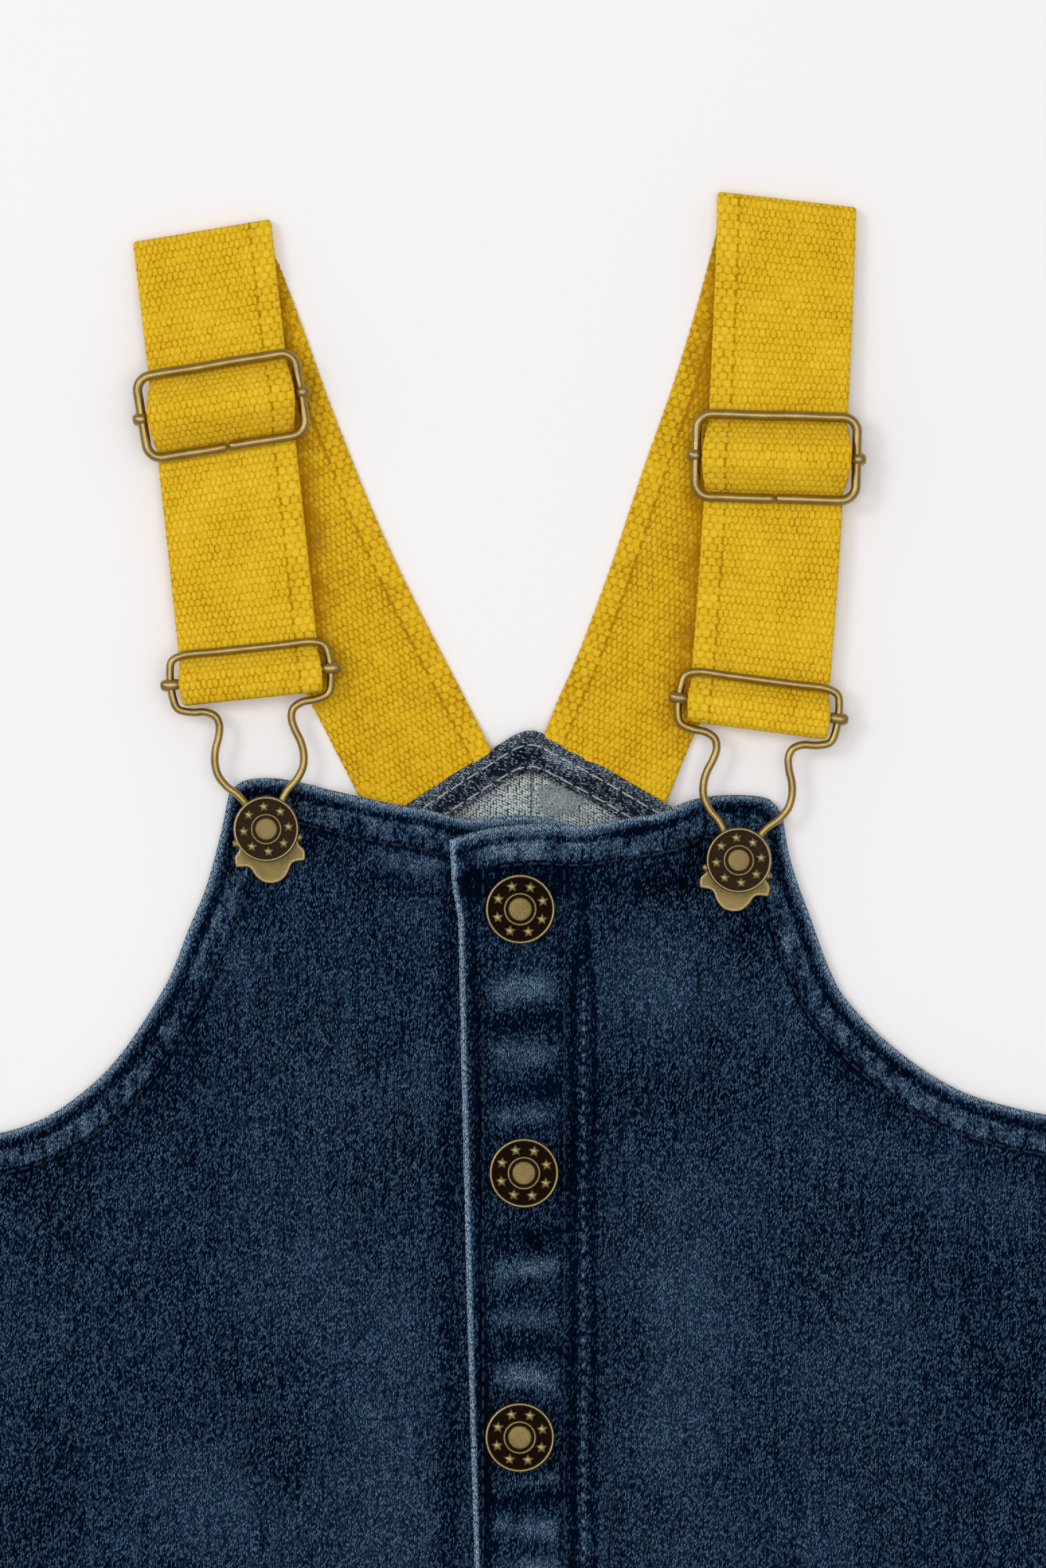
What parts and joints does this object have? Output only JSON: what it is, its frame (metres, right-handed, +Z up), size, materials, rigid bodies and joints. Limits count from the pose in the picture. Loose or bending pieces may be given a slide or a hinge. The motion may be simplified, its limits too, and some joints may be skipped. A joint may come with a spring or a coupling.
{
  "type": "kids dungarees",
  "caption": "Kids dungarees in indigo denim laid flat, with a button placket, bent wire buckles, and yellow webbing straps with wire sliders.",
  "frame": {"origin": "on the surface it lies on, under the middle of its box, 84 mm above the crotch", "axes": "+X to the wearer's left (the viewer's right), +Y from the hems to the shoulders, +Z up from the surface through back and front"},
  "size_m": [0.297, 0.668, 0.0114],
  "materials": {
    "denim": "matte",
    "webbing": "matte",
    "antique_brass": "satin"
  },
  "bodies": {
    "root": {"front_left": "denim", "front_right": "denim", "placket": "denim", "back_left": "denim", "back_right": "denim", "back_facing": "denim", "strap_left": "webbing", "strap_right": "webbing", "slider_left": "antique_brass", "slider_right": "antique_brass", "slider_bar_left": "antique_brass", "slider_bar_right": "antique_brass", "buckle_left": "antique_brass", "buckle_right": "antique_brass", "buckle_bar_left": "antique_brass", "buckle_bar_right": "antique_brass", "buckle_plate_left": "antique_brass", "buckle_plate_right": "antique_brass", "bib_button_left": "antique_brass", "bib_button_right": "antique_brass", "placket_button_1": "antique_brass", "placket_button_2": "antique_brass", "placket_button_3": "antique_brass", "placket_button_4": "antique_brass"}
  },
  "joints": []
}
